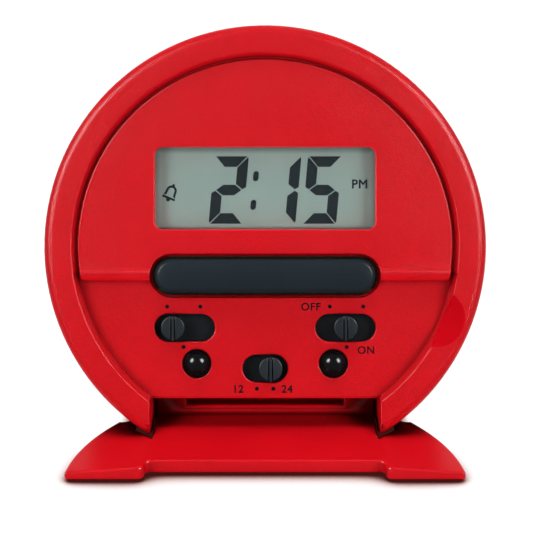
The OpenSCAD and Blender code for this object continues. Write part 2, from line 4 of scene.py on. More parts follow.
import bpy
import numpy as np
from mathutils import Matrix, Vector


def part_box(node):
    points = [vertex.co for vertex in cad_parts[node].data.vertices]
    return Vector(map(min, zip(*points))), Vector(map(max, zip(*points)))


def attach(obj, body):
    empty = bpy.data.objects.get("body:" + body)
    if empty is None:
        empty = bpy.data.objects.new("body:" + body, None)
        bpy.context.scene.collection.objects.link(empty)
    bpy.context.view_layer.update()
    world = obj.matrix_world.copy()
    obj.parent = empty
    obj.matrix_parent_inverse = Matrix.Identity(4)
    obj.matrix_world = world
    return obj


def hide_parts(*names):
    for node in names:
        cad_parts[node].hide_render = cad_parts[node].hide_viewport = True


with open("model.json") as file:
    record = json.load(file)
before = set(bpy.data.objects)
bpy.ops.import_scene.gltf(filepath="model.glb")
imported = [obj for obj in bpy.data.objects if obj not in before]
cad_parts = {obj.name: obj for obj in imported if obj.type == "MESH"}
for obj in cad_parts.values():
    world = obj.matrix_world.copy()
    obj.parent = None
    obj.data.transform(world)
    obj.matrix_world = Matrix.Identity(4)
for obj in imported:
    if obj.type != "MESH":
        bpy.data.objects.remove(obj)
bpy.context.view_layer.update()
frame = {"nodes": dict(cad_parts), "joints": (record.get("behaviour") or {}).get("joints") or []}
nodes = frame["nodes"]
scene = bpy.context.scene
scene.view_settings.view_transform = "Standard"
mm = 0.001

# the face frame: right, up the face and out of it, with its origin in the middle of the rim's front plane
facePlace = {"hingeLow": 26.2, "hingeIn": 5.57}
joints = {j["name"]: j for j in frame["joints"]}
hingePoint = np.array(joints["stand_hinge"]["pos_m"])
faceOut = -np.array(joints["long_button_press"]["axis"])
faceRight = np.array((1.0, 0.0, 0.0))
faceUp = np.cross(faceOut, faceRight)
faceMiddle = hingePoint + mm * (facePlace["hingeLow"] * faceUp + facePlace["hingeIn"] * faceOut)


# millimetres in the face frame to metres in the part frame: middle + x right + y up + z out
def onFace(points):
    axes = np.stack((faceRight, faceUp, faceOut))
    return faceMiddle + mm * np.asarray(points, float) @ axes


# a new object that holds these points and faces
def newPiece(name, points, faces, smooth=True):
    mesh = bpy.data.meshes.new(name)
    mesh.from_pydata(points.tolist(), [], faces)
    mesh.update()
    mesh.polygons.foreach_set("use_smooth", np.full(len(mesh.polygons), smooth))
    piece = bpy.data.objects.new(name, mesh)
    scene.collection.objects.link(piece)
    return piece


# faces of a grid of rings by steps: the steps close into a ring, and each ring joins the next
def ringFaces(rings, steps):
    ring, step = np.meshgrid(np.arange(rings - 1), np.arange(steps), indexing="ij")
    nextStep = (step + 1) % steps
    quads = np.stack((ring * steps + step, ring * steps + nextStep,
                      (ring + 1) * steps + nextStep, (ring + 1) * steps + step), -1)
    return quads.reshape(-1, 4).tolist()


# a smooth normal for every corner that follows the larger faces
def evenNormals(piece):
    even = piece.modifiers.new("evenNormals", "WEIGHTED_NORMAL")
    even.mode = "FACE_AREA"
    even.weight = 100
    even.keep_sharp = True


# a profile of (inset, height) carried round a closed outline: point = outline - inset * outward normal
def carriedRound(outline, profile):
    ahead = np.roll(outline, -1, 0) - np.roll(outline, 1, 0)
    outward = np.stack((ahead[:, 1], -ahead[:, 0]), -1)
    outward /= np.linalg.norm(outward, axis=1, keepdims=True)
    inset, height = np.asarray(profile, float).T
    plan = outline[None] - inset[:, None, None] * outward[None]
    tall = np.broadcast_to(height[:, None, None], plan.shape[:2] + (1,))
    return np.concatenate((plan, tall), -1)


# a closed form from such rings, with its first and last ring filled
def carriedPiece(name, rings, toFrame):
    count, steps = rings.shape[:2]
    faces = ringFaces(count, steps)
    faces.append(list(range(steps))[::-1])
    faces.append(list(range((count - 1) * steps, count * steps)))
    piece = newPiece(name, toFrame(rings.reshape(-1, 3)), faces)
    evenNormals(piece)
    return piece


# a bar outline with round ends: half circles about the two end points, counter-clockwise
def barOutline(halfLength, halfHeight, steps=48):
    turn = np.linspace(-math.pi / 2, math.pi / 2, steps)
    end = np.stack((np.cos(turn), np.sin(turn)), -1) * halfHeight
    right = end + (halfLength - halfHeight, 0)
    return np.concatenate((right, -right))


# a rectangle with round corners: a quarter circle about each corner's middle, counter-clockwise
def roundRectangle(width, height, corner, steps=12):
    turn = np.linspace(0, math.pi / 2, steps)
    middles = np.array(((1, 1), (-1, 1), (-1, -1), (1, -1))) * (width / 2 - corner, height / 2 - corner)
    angles = turn[None] + np.arange(4)[:, None] * math.pi / 2
    arcs = middles[:, None] + corner * np.stack((np.cos(angles), np.sin(angles)), -1)
    return arcs.reshape(-1, 2)


# a circle of radius one, counter-clockwise
def unitCircle(steps):
    turn = np.linspace(0, 2 * math.pi, steps, endpoint=False)
    return np.stack((np.cos(turn), np.sin(turn)), -1)


# a quarter round from (inset, low) to (inset + size, low + size)
def quarterRound(inset, low, size, steps=6):
    turn = np.linspace(0, math.pi / 2, steps)
    return np.stack((inset + size * (1 - np.cos(turn)), low + size * np.sin(turn)), -1)


weld = {"stepsPerMetre": 1e6, "step": 1e-6}


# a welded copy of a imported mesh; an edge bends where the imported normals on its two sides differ.
# Outer bends over the limit are marked for rounding, and all other bends over the least one stay crisp.
def weldedCopy(source, name, edge):
    points = np.empty(len(source.vertices) * 3)
    normals = np.empty(len(source.loops) * 3)
    corners = np.empty(len(source.loops), int)
    source.vertices.foreach_get("co", points)
    source.corner_normals.foreach_get("vector", normals)
    source.loops.foreach_get("vertex_index", corners)
    steps = np.round(points.reshape(-1, 3) * weld["stepsPerMetre"])
    welded, place = np.unique(steps, axis=0, return_inverse=True)
    triangles, normals = place.reshape(-1)[corners].reshape(-1, 3), normals.reshape(-1, 3, 3)
    whole = (triangles != np.roll(triangles, -1, 1)).all(1)
    triangles, normals = triangles[whole], normals[whole]
    ends = np.stack((triangles, np.roll(triangles, -1, 1)), -1).reshape(-1, 2)
    leans = np.stack((normals, np.roll(normals, -1, 1)), 2).reshape(-1, 2, 3)
    across = np.roll(triangles, -2, 1).reshape(-1)
    swap = ends[:, 0] > ends[:, 1]
    ends[swap], leans[swap] = ends[swap, ::-1], leans[swap, ::-1]
    keys = ends[:, 0] * len(welded) + ends[:, 1]
    order = np.argsort(keys, kind="stable")
    keys, leans, across, start = keys[order], leans[order], across[order], ends[order, 0]
    first = np.flatnonzero(keys[1:] == keys[:-1])
    bend = np.degrees(np.arccos(np.clip(np.einsum("eij,eij->ei", leans[first], leans[first + 1]).min(1), -1, 1)))
    reach = welded[across[first + 1]] - welded[start[first]]
    outer = np.einsum("ej,ej->e", leans[first].mean(1), reach) < 0
    soft = keys[first][outer & (bend > edge["angle"])]
    crisp = keys[first][bend > edge["crisp"]]
    mesh = bpy.data.meshes.new(name)
    mesh.from_pydata((welded * weld["step"]).tolist(), [], triangles.tolist())
    mesh.polygons.foreach_set("use_smooth", np.ones(len(mesh.polygons), bool))
    pairs = np.empty(len(mesh.edges) * 2, int)
    mesh.edges.foreach_get("vertices", pairs)
    pairs = np.sort(pairs.reshape(-1, 2), 1)
    edgeKeys = pairs[:, 0] * len(welded) + pairs[:, 1]
    rounded = np.isin(edgeKeys, soft)
    mesh.attributes.new("bevel_weight_edge", "FLOAT", "EDGE").data.foreach_set("value", rounded.astype(np.float32))
    kept = np.isin(edgeKeys, crisp) & ~rounded
    mesh.attributes.new("sharp_edge", "BOOLEAN", "EDGE").data.foreach_set("value", kept)
    return mesh


# such a copy with its sharp edges rounded, in the node's place
def softened(node, name, edge):
    piece = bpy.data.objects.new(name, weldedCopy(nodes[node].data, name, edge))
    scene.collection.objects.link(piece)
    bevel = piece.modifiers.new("roundEdges", "BEVEL")
    bevel.width = edge["round"] * mm
    bevel.segments = edge["steps"]
    bevel.limit_method = "WEIGHT"
    bevel.use_clamp_overlap = False
    bevel.loop_slide = False
    evenNormals(piece)
    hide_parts(node)
    return piece


def dress(piece, body, material):
    piece.data.materials.clear()
    piece.data.materials.append(material)
    if body:
        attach(piece, body)
    return piece


# materials

def newMaterial(name, **sockets):
    made = bpy.data.materials.new(name)
    made.use_nodes = True
    shader = made.node_tree.nodes["Principled BSDF"]
    for socket, value in sockets.items():
        shader.inputs[socket.replace("_", " ")].default_value = value
    return made, made.node_tree, shader


# a material with nothing but its output
def bareMaterial(name):
    made = bpy.data.materials.new(name)
    made.use_nodes = True
    tree = made.node_tree
    tree.nodes.remove(tree.nodes["Principled BSDF"])
    return made, tree


def noiseOf(tree, scale, detail=3.0, roughness=0.55):
    place = tree.nodes.new("ShaderNodeTexCoord")
    noise = tree.nodes.new("ShaderNodeTexNoise")
    noise.inputs["Scale"].default_value = scale
    noise.inputs["Detail"].default_value = detail
    noise.inputs["Roughness"].default_value = roughness
    tree.links.new(place.outputs["Object"], noise.inputs["Vector"])
    return noise.outputs["Fac"]


def rampOf(tree, value, *stops):
    ramp = tree.nodes.new("ShaderNodeValToRGB")
    for point, (at, colour) in zip(ramp.color_ramp.elements, stops):
        point.position = at
        point.color = (*colour, 1)
    tree.links.new(value, ramp.inputs["Fac"])
    return ramp.outputs["Color"]


def rangeOf(tree, value, low, high):
    spread = tree.nodes.new("ShaderNodeMapRange")
    spread.inputs["To Min"].default_value = low
    spread.inputs["To Max"].default_value = high
    tree.links.new(value, spread.inputs["Value"])
    return spread.outputs["Result"]


def bumpOf(tree, value, strength, distance):
    bump = tree.nodes.new("ShaderNodeBump")
    bump.inputs["Strength"].default_value = strength
    bump.inputs["Distance"].default_value = distance * mm
    tree.links.new(value, bump.inputs["Height"])
    return bump.outputs["Normal"]


def scaledBy(tree, colour, value):
    shade = tree.nodes.new("ShaderNodeVectorMath")
    shade.operation = "SCALE"
    tree.links.new(colour, shade.inputs[0])
    tree.links.new(value, shade.inputs["Scale"])
    return shade.outputs["Vector"]


# deepest + (1 - deepest) * smooth step of a value from shut to clear
def shadeOf(tree, value, shut, clear, deepest):
    shade = tree.nodes.new("ShaderNodeMapRange")
    shade.interpolation_type = "SMOOTHSTEP"
    for socket, limit in (("From Min", shut), ("From Max", clear), ("To Min", deepest)):
        shade.inputs[socket].default_value = limit
    tree.links.new(value, shade.inputs["Value"])
    return shade.outputs["Result"]


# painted shade by the open share of the sky within reach
def openness(tree, s):
    sky = tree.nodes.new("ShaderNodeAmbientOcclusion")
    sky.inputs["Distance"].default_value = s["reach"] * mm
    return shadeOf(tree, sky.outputs["AO"], s["shut"], s["clear"], s["deepest"])


def mathOf(tree, operation, *values):
    step = tree.nodes.new("ShaderNodeMath")
    step.operation = operation
    for socket, value in zip(step.inputs, values):
        if isinstance(value, float):
            socket.default_value = value
        else:
            tree.links.new(value, socket)
    return step.outputs["Value"]


# painted shadow by the way in from the edge of a rectangle on the face: the least of half its size - |place| along
# each side
def edgeShade(tree, s):
    place = tree.nodes.new("ShaderNodeTexCoord")
    middle = onFace((s["middle"] + (0,),))[0]
    ways = []
    for axis, half in zip((faceRight, faceUp), s["half"]):
        along = tree.nodes.new("ShaderNodeVectorMath")
        along.operation = "DOT_PRODUCT"
        along.inputs[1].default_value = axis.tolist()
        tree.links.new(place.outputs["Object"], along.inputs[0])
        off = mathOf(tree, "SUBTRACT", along.outputs["Value"], float(middle @ axis))
        ways.append(mathOf(tree, "SUBTRACT", half * mm, mathOf(tree, "ABSOLUTE", off)))
    return shadeOf(tree, mathOf(tree, "MINIMUM", *ways), 0.0, s["fade"] * mm, s["deepest"])


# the place on a piece as X, Y and Z
def placeOf(tree):
    place = tree.nodes.new("ShaderNodeSeparateXYZ")
    tree.links.new(tree.nodes.new("ShaderNodeTexCoord").outputs["Object"], place.inputs["Vector"])
    return place.outputs


# painted shade by the open share of the sky, fading out to the front edge, which the floor would darken
def standShade(tree, s):
    forward = mathOf(tree, "MULTIPLY", placeOf(tree)["Y"], -1.0)
    atFront = shadeOf(tree, forward, s["fadeFrom"] * mm, s["fadeTo"] * mm, 0.0)
    return mathOf(tree, "MAXIMUM", openness(tree, s), atFront)


plasticNoise = {"patchDark": 0.3, "patchLight": 0.7, "glossScale": 0.6}


# moulded plastic: two close colours in broad patches and a fine speckle, with the same fine grain in the surface,
# and a painted shade over them
def mouldedPlastic(name, dark, light, rough, grain, patch=90, fine=4200, speckle=0.0, shade=None, **sockets):
    made, tree, shader = newMaterial(name, **sockets)
    ends = (plasticNoise["patchDark"], dark), (plasticNoise["patchLight"], light)
    colour = rampOf(tree, noiseOf(tree, patch), *ends)
    dots = noiseOf(tree, fine)
    colour = scaledBy(tree, colour, rangeOf(tree, dots, 1 - speckle, 1 + speckle))
    if shade:
        colour = scaledBy(tree, colour, shade(tree))
    tree.links.new(colour, shader.inputs["Base Color"])
    gloss = noiseOf(tree, fine * plasticNoise["glossScale"])
    tree.links.new(rangeOf(tree, gloss, *rough), shader.inputs["Roughness"])
    tree.links.new(bumpOf(tree, dots, *grain), shader.inputs["Normal"])
    return made


# painted shade: the shells' colour darkens in creases, grooves and recesses by the open share of the sky
shellCreviceShade = {"reach": 2.4, "shut": 0.35, "clear": 0.97, "deepest": 0.42}
standCreviceShade = {"reach": 6.0, "shut": 0.44, "clear": 0.92, "deepest": 0.1, "fadeFrom": 19.0, "fadeTo": 23.0}
displayEdgeShadow = {"middle": (0, 10.3), "half": (20.2, 7.6), "fade": 1.2, "deepest": 0.5}
# the shells are glossy near the face and satin along the sides and the back
shellFinishAndShade = {"dark": (0.58, 0.004, 0.009), "light": (0.62, 0.006, 0.012), "rough": (0.18, 0.26),
               "grain": (1.0, 0.06), "fine": 5600, "speckle": 0.24,
               "shade": lambda tree: openness(tree, shellCreviceShade)}
redShell = mouldedPlastic("redShell", Specular_IOR_Level=0.045, **shellFinishAndShade)
redSatin = mouldedPlastic("redSatin", Specular_IOR_Level=0.0, **shellFinishAndShade)
# the stand's red, with painted shade under the case's lip and in its hollows
redStand = mouldedPlastic("redStand", (0.58, 0.003, 0.008), (0.62, 0.004, 0.010), (0.2, 0.27), (0.12, 0.02),
                          speckle=0.04, shade=lambda tree: standShade(tree, standCreviceShade), Specular_IOR_Level=0.07)
# the thumb scoop: the shell's red painted a little darker as shade, without gloss
shadedRedScoop = mouldedPlastic("shadedRedScoop", (0.53, 0.002, 0.007), (0.57, 0.003, 0.009), (0.4, 0.5), (0.12, 0.02),
                          speckle=0.04, Specular_IOR_Level=0.0)
slateButton = mouldedPlastic("slateButton", (0.009, 0.0155, 0.020), (0.011, 0.0185, 0.024), (0.26, 0.36), (0.5, 0.05),
                             speckle=0.12, Specular_IOR_Level=0.05)
slateSwitch = mouldedPlastic("slateSwitch", (0.012, 0.017, 0.021), (0.016, 0.022, 0.026), (0.26, 0.34), (0.2, 0.02),
                             Specular_IOR_Level=0.07)
slatePlate = mouldedPlastic("slatePlate", (0.005, 0.007, 0.009), (0.007, 0.010, 0.012), (0.4, 0.5), (0.2, 0.02),
                            Specular_IOR_Level=0.025)
blackDome = mouldedPlastic("blackDome", (0.003, 0.003, 0.004), (0.004, 0.004, 0.005), (0.15, 0.19), (0.05, 0.01),
                           Specular_IOR_Level=0.05)
# the display panel's grey, with a painted shadow of the window's frame along its edges
displayGrey = mouldedPlastic("displayGrey", (0.262, 0.342, 0.323), (0.278, 0.360, 0.340), (0.5, 0.6), (0.05, 0.01),
                             shade=lambda tree: edgeShade(tree, displayEdgeShadow), Specular_IOR_Level=0.1)
displayInk = mouldedPlastic("displayInk", (0.003, 0.009, 0.014), (0.005, 0.012, 0.018), (0.5, 0.6), (0.02, 0.01),
                            Specular_IOR_Level=0.04)
printInk = mouldedPlastic("printInk", (0.004, 0.004, 0.005), (0.007, 0.006, 0.007), (0.5, 0.65), (0.1, 0.01),
                          Specular_IOR_Level=0.005)
rubberPad = mouldedPlastic("rubberPad", (0.02, 0.02, 0.021), (0.03, 0.03, 0.031), (0.75, 0.9), (0.5, 0.05))
steel = mouldedPlastic("steel", (0.30, 0.30, 0.31), (0.38, 0.38, 0.39), (0.25, 0.4), (0.1, 0.01), Metallic=1.0)
brass = mouldedPlastic("brass", (0.65, 0.48, 0.2), (0.75, 0.56, 0.26), (0.25, 0.4), (0.1, 0.01), Metallic=1.0)
boardGreen = mouldedPlastic("boardGreen", (0.01, 0.09, 0.03), (0.02, 0.14, 0.05), (0.3, 0.45), (0.2, 0.03), patch=700)
cellJacket = mouldedPlastic("cellJacket", (0.30, 0.20, 0.05), (0.36, 0.25, 0.07), (0.25, 0.35), (0.05, 0.01),
                            Metallic=0.4)
lampWhite = mouldedPlastic("lampWhite", (0.75, 0.75, 0.72), (0.82, 0.82, 0.78), (0.2, 0.3), (0.02, 0.01))


clearPane = {"tint": (0.97, 0.98, 0.97), "rough": 0.08, "bending": 1.08}


# clear sheet: a thin pane that lets the light through and mirrors a little of the room
def clearSheet(name, s):
    made, tree = bareMaterial(name)
    through = tree.nodes.new("ShaderNodeBsdfTransparent")
    through.inputs["Color"].default_value = (*s["tint"], 1)
    gloss = tree.nodes.new("ShaderNodeBsdfGlossy")
    gloss.inputs["Roughness"].default_value = s["rough"]
    facing = tree.nodes.new("ShaderNodeFresnel")
    facing.inputs["IOR"].default_value = s["bending"]
    mix = tree.nodes.new("ShaderNodeMixShader")
    tree.links.new(facing.outputs["Fac"], mix.inputs["Fac"])
    tree.links.new(through.outputs["BSDF"], mix.inputs[1])
    tree.links.new(gloss.outputs["BSDF"], mix.inputs[2])
    tree.links.new(mix.outputs["Shader"], tree.nodes["Material Output"].inputs["Surface"])
    return made


clearWindow = clearSheet("clearWindow", clearPane)
print("materials ready")

# shells
shellEdge = {"round": 0.26, "steps": 3, "angle": 60, "crisp": 14}
standEdge = {"round": 0.5, "steps": 4, "angle": 34, "crisp": 14}
smallEdge = {"round": 0.13, "steps": 3, "angle": 34, "crisp": 14}

frontShell = dress(softened("case_front", "front_shell", shellEdge), "case", redShell)
for finish in (shadedRedScoop, redSatin):
    frontShell.data.materials.append(finish)
dress(softened("case_back", "back_shell", shellEdge), "case", redSatin)
dress(softened("stand", "folding_stand", standEdge), "stand", redStand)
dress(softened("battery_door", "battery_cover", smallEdge), "battery_door", redSatin)
print("shells ready")


def faceMiddles(piece):
    middles = np.empty(len(piece.data.polygons) * 3)
    piece.data.polygons.foreach_get("center", middles)
    axes = np.stack((faceRight, faceUp, faceOut), 1)
    return (middles.reshape(-1, 3) - faceMiddle) @ axes / mm


# the front shell's finishes: glossy, a dull thumb scoop painted a little darker as shade, where distance from its
# ball's middle = the ball's radius, and satin sides
scoop = {"out": 33.4, "turn": -22.9, "above": 9.75, "radius": 11.05, "near": 0.06}
satinSide = {"depth": -4.0}
glossySlot, scoopSlot, satinSlot = range(3)
turn = math.radians(scoop["turn"])
ballMiddle = np.array((scoop["out"] * math.cos(turn), scoop["out"] * math.sin(turn), scoop["above"]))
shellMiddles = faceMiddles(frontShell)
offBall = np.abs(np.linalg.norm(shellMiddles - ballMiddle, axis=1) - scoop["radius"])
shellSlots = np.where(shellMiddles[:, 2] < satinSide["depth"], satinSlot, glossySlot)
shellSlots[offBall < scoop["near"]] = scoopSlot
frontShell.data.polygons.foreach_set("material_index", shellSlots)

# slide switches: the plate behind the window is darker than the knob
knobFoot = {"depth": -3.0}
switchNames = ("mode_switch", "alarm_switch", "hour_switch")
for name in switchNames:
    slider = dress(softened(name, name.replace("switch", "slider"), smallEdge), name, slateSwitch)
    slider.data.materials.append(slatePlate)
    behind = faceMiddles(slider)[:, 2] < knobFoot["depth"]
    slider.data.polygons.foreach_set("material_index", behind.astype(int))

# a narrow rib stands in each knob's groove
knobRib = {"width": 0.42, "length": 3.9, "corner": 0.12, "steps": 5, "foot": -1.75, "top": -1.15, "soft": 0.1}
for name in switchNames:
    low, high = np.array(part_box(name))
    middle = (low + high) / 2
    across, along = (middle - faceMiddle) @ faceRight / mm, (middle - faceMiddle) @ faceUp / mm
    profile = [(0, knobRib["foot"])] + quarterRound(0, knobRib["top"] - knobRib["soft"], knobRib["soft"]).tolist()
    outline = roundRectangle(knobRib["width"], knobRib["length"], knobRib["corner"], knobRib["steps"])
    rings = carriedRound(outline, profile)
    rib = carriedPiece(name.replace("switch", "rib"), rings, lambda p: onFace(p + (across, along, 0)))
    dress(rib, name, slateSwitch)
print("switches ready")

# long button: an upright side, a rounded shoulder, a sloped bevel and a nearly flat top, all as (inset, height);
# the steps of its upper edge are counted from the bevel's end
longButton = {"halfLength": 19.85, "halfHeight": 2.95, "low": 5.35, "top": 0.4, "foot": -4.9, "bevel": 0.62,
              "soft": 0.12, "crown": 0.16, "side": 0.3, "lip": 0.05, "slope": 0.9, "flat": 0.6,
              "edge": ((-0.10, -0.07), (-0.02, -0.02), (0.06, 0.0), (0.2, 0.012))}


def makeLongButton(s):
    shoulder, edge = s["top"] - s["bevel"], s["top"] - s["crown"]
    profile = [(0, s["foot"]), (0, shoulder - s["side"]), (0, shoulder - s["soft"]), (s["lip"], shoulder)]
    profile += [(s["bevel"] + inward, edge + rise) for inward, rise in s["edge"]]
    profile += [(s["bevel"] + s["slope"], s["top"] - s["crown"] / 3), (s["halfHeight"] - s["flat"], s["top"])]
    outline = barOutline(s["halfLength"], s["halfHeight"])
    rings = carriedRound(outline, profile)
    return carriedPiece("bar_button", rings, lambda p: onFace(p - (0, s["low"], 0)))


barButton = makeLongButton(longButton)
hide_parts("long_button")
dress(barButton, "long_button", slateButton)

# display: digits of seven slanted strokes, a colon and a bell, on the panel behind the window
display = {"middle": 10.27, "panelFront": -3.6, "height": 12.3, "width": 6.24, "stroke": 1.93, "gap": 0.13,
           "lean": 0.091, "thick": 0.03, "lift": 0.01, "corner": 0.13, "round": 0.6, "tip": 0.35, "end": 0.28,
           "arc": ((0.27, 0.27), (0.07, 0.62))}


# the strokes of one digit as outlines about its middle, named a to g from the top, clockwise, the middle last
def strokeOutlines(s):
    w, h, t, g, c, r = s["width"] / 2, s["height"] / 2, s["stroke"], s["gap"], s["corner"], s["round"]
    top = np.array([(-w + g + c, h), (w - g - c, h), (w - t - g / 2, h - t), (-w + t + g / 2, h - t)])
    arc = [(w - r * inward, h - r * down) for inward, down in s["arc"]]
    side = np.array([(w, h - r), (w, t * s["end"]), (w - t * s["tip"], g), (w - t, t / 2 + g), (w - t, h - t - g),
                     *arc])
    tip, shoulder = w - t * s["tip"] - g, w - t - g
    middle = np.array([(-tip, 0), (-shoulder, t / 2), (shoulder, t / 2), (tip, 0), (shoulder, -t / 2),
                       (-shoulder, -t / 2)])
    flip = np.array((-1, 1))
    drop = np.array((1, -1))
    return {"a": top, "b": side, "c": side * drop, "d": top * drop, "e": side * drop * flip, "f": side * flip,
            "g": middle}


# thin plates from outlines on the display: each is a top face with its side walls
def platesOnFace(name, outlines, low, thick):
    points, faces = [], []
    for outline in outlines:
        count, start = len(outline), sum(len(p) for p in points)
        area = np.sum(outline[:, 0] * np.roll(outline[:, 1], -1) - np.roll(outline[:, 0], -1) * outline[:, 1])
        turned = outline if area > 0 else outline[::-1]
        foot = np.column_stack((turned, np.full(count, low)))
        points.append(np.concatenate((foot, foot + (0, 0, thick))))
        ring = np.arange(count)
        ahead = (ring + 1) % count
        sides = np.stack((ring, ahead, ahead + count, ring + count), -1) + start
        faces += sides.tolist() + [(ring + count + start).tolist(), (ring[::-1] + start).tolist()]
    return newPiece(name, onFace(np.concatenate(points)), faces, smooth=False)


def leaned(outline, centre, s):
    return outline + np.stack((s["lean"] * outline[:, 1], 0 * outline[:, 1]), -1) + centre


digits = {-6.64: "abged", 2.95: "bc", 10.39: "afgcd"}  # strokes at each place across the display
strokes = strokeOutlines(display)
displayMarks = [leaned(strokes[k], (x, display["middle"]), display) for x, names in digits.items() for k in names]
colon = {"x": -1.92, "low": 0.09, "away": 2.62, "halfWidth": 0.5, "halfHeight": 0.92, "steps": 10}
colonDot = barOutline(colon["halfHeight"], colon["halfWidth"], colon["steps"])[:, ::-1]
for rise in (colon["away"], -colon["away"]):
    dotPlace = (colon["x"] + rise * display["lean"], display["middle"] - colon["low"] + rise)
    displayMarks.append(leaned(colonDot, dotPlace, display))

# bell: a narrow band along the bell's outline, which is a dome, flaring sides and a flat rim
bell = {"x": -17.27, "y": 9.66, "lean": -22.0, "size": 0.93, "band": 0.46, "dome": 0.82, "domeMiddle": 0.55,
        "domeSteps": 13, "waist": (0.9, -0.35), "rim": (1.3, -0.95), "clapper": 0.38, "clapperMiddle": -1.3,
        "knob": 0.27, "knobMiddle": 1.68, "steps": 16}


def bellLine(s):
    turn = np.linspace(math.pi, 0, s["domeSteps"])
    dome = np.stack((s["dome"] * np.cos(turn), s["domeMiddle"] + s["dome"] * np.sin(turn)), -1)
    down = np.array((s["waist"], s["rim"]))
    return np.concatenate((down[::-1] * (-1, 1), dome, down))


# a quad to each step of a closed line, out to half a width on both sides of it
def bandAlong(line, half):
    ahead = np.roll(line, -1, 0) - np.roll(line, 1, 0)
    across = np.stack((-ahead[:, 1], ahead[:, 0]), -1)
    across *= half / np.linalg.norm(across, axis=1, keepdims=True)
    one, two = line + across, line - across
    quads = np.stack((one, two, np.roll(two, -1, 0), np.roll(one, -1, 0)), 1)
    return list(quads)


turn = math.radians(bell["lean"])
spin = np.array(((math.cos(turn), math.sin(turn)), (-math.sin(turn), math.cos(turn))))
clapper, knob = (bell[k] * unitCircle(bell["steps"]) + (0, bell[k + "Middle"]) for k in ("clapper", "knob"))
bellParts = bandAlong(bellLine(bell), bell["band"] / 2) + [clapper, knob]
displayMarks += [part * bell["size"] @ spin + (bell["x"], bell["y"]) for part in bellParts]

marks = platesOnFace("display_strokes", displayMarks, display["panelFront"] + display["lift"], display["thick"])
dress(marks, "case", displayInk)
panel = softened("display_panel", "display_glass", smallEdge)
dress(panel, "case", displayGrey)

# window: a flat pane with round corners and a softened front edge
window = {"width": 41.5, "height": 16.5, "corner": 1.45, "middle": 10.48, "back": -3.5, "front": -2.6, "soft": 0.12}


def makeWindow(s):
    rim = [(0, s["back"])] + quarterRound(0, s["front"] - s["soft"], s["soft"]).tolist()
    rings = carriedRound(roundRectangle(s["width"], s["height"], s["corner"]), rim)
    return carriedPiece("window_pane", rings, lambda p: onFace(p + (0, s["middle"], 0)))


pane = makeWindow(window)
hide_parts("display_window")
dress(pane, "case", clearWindow)
print("display ready")

# printed dots at the switch positions: thin discs on the lower face
printed = {"face": -2.4, "lift": 0.005, "thick": 0.02, "radius": 0.36, "steps": 24}
dotPlaces = [(-17.8, -10.95), (-11.75, -10.95), (11.75, -10.95), (17.8, -10.95), (-1.5, -25.88), (1.5, -25.88),
             (-14.8, -18.3), (14.8, -18.3)]
disc = printed["radius"] * unitCircle(printed["steps"])
dots = platesOnFace("printed_dots", [disc + p for p in dotPlaces], printed["face"] + printed["lift"], printed["thick"])
dress(dots, "case", printInk)

# generic lettering: built-in letters made into a mesh, set to a cap height and to a place on the face
labels = {
    "printed_off": {"text": "OFF", "bold": 0.016, "middle": (8.3, -10.98), "height": 1.42, "on": "case_print"},
    "printed_on": {"text": "ON", "bold": 0.016, "middle": (18.3, -18.85), "height": 1.42, "on": "case_print"},
    "printed_twelve": {"text": "12", "bold": 0.016, "middle": (-4.75, -25.9), "height": 1.42, "on": "case_print"},
    "printed_twenty_four": {"text": "24", "bold": 0.016, "middle": (4.0, -25.9), "height": 1.42, "on": "case_print"},
    "display_half": {"text": "PM", "bold": 0.024, "middle": (17.23, 11.37), "height": 1.65, "on": "display"},
}
labelGrounds = {"case_print": (printed["face"], printInk), "display": (display["panelFront"], displayInk)}
lettering = {"space": 1.08, "extrude": 0.01}


def makeLabel(name, s):
    letters = bpy.data.curves.new(name, "FONT")
    letters.body = s["text"]
    letters.space_character = lettering["space"]
    letters.extrude = lettering["extrude"]
    letters.bevel_depth = s["bold"]
    letters.bevel_resolution = 0
    writer = bpy.data.objects.new(name, letters)
    scene.collection.objects.link(writer)
    mesh = bpy.data.meshes.new_from_object(writer.evaluated_get(bpy.context.evaluated_depsgraph_get()))
    bpy.data.objects.remove(writer)
    points = np.empty(len(mesh.vertices) * 3)
    mesh.vertices.foreach_get("co", points)
    points = points.reshape(-1, 3)
    low, high = points.min(0), points.max(0)
    flat = (points - (low + high) / 2) * s["height"] / (high[1] - low[1])
    flat[:, :2] += s["middle"]
    face, finish = labelGrounds[s["on"]]
    flat[:, 2] = face + printed["lift"] + printed["thick"] * (points[:, 2] > 0)
    mesh.vertices.foreach_set("co", onFace(flat).reshape(-1))
    mesh.update()
    piece = bpy.data.objects.new(name, mesh)
    scene.collection.objects.link(piece)
    return dress(piece, "case", finish)


for name, label in labels.items():
    makeLabel(name, label)

# carried-over nodes
carried = {
    "left_button": (blackDome, "black_button"), "right_button": (blackDome, "black_button"),
    "left_pin": (steel, "steel"), "right_pin": (steel, "steel"),
    "left_stand_pad": (rubberPad, "rubber_pad"), "right_stand_pad": (rubberPad, "rubber_pad"),
    "left_case_pad": (rubberPad, "rubber_pad"), "right_case_pad": (rubberPad, "rubber_pad"),
    "circuit_board": (boardGreen, "board_green"), "switch_pads": (steel, "steel"),
    "battery": (cellJacket, "cell_jacket"), "left_contact": (brass, "contact_brass"),
    "right_contact": (brass, "contact_brass"), "sounder": (brass, "contact_brass"),
    "lamp": (lampWhite, "lamp_white"),
    "upper_left_screw": (steel, "steel"), "upper_right_screw": (steel, "steel"),
    "lower_left_screw": (steel, "steel"), "lower_right_screw": (steel, "steel"),
}
for name, (finish, slotName) in carried.items():
    dress(nodes[name], None, finish)
print("carried nodes dressed")

